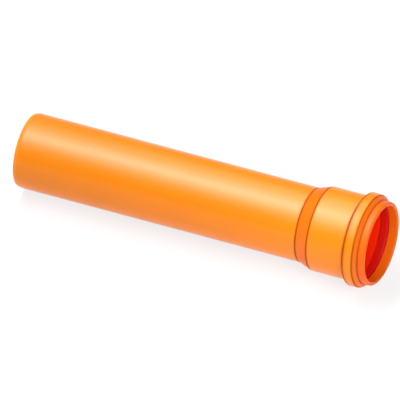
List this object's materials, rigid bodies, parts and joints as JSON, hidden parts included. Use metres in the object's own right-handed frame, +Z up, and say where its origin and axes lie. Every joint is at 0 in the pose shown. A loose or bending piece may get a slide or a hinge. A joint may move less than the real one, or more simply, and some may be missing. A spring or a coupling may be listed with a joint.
{
  "type": "pvc sewer pipe",
  "caption": "Orange PVC sewer pipe with a plain chamfered spigot, a straight barrel and a formed socket with neck cone, ring bead, rounded lip and a sealing ring inside.",
  "frame": {"origin": "on the floor, under the middle of the bounding box", "axes": "+X along the pipe towards the socket mouth, +Y across it, +Z up; the pipe's own axis rises 1.57 degrees towards the socket, because the pipe rests on its bead and on the edge of its spigot"},
  "size_m": [0.5578, 0.1384, 0.1384],
  "materials": {
    "pvc_orange": "satin",
    "rubber_red": "matte"
  },
  "bodies": {
    "root": {"pipe": "pvc_orange", "seal_ring": "rubber_red"}
  },
  "joints": []
}
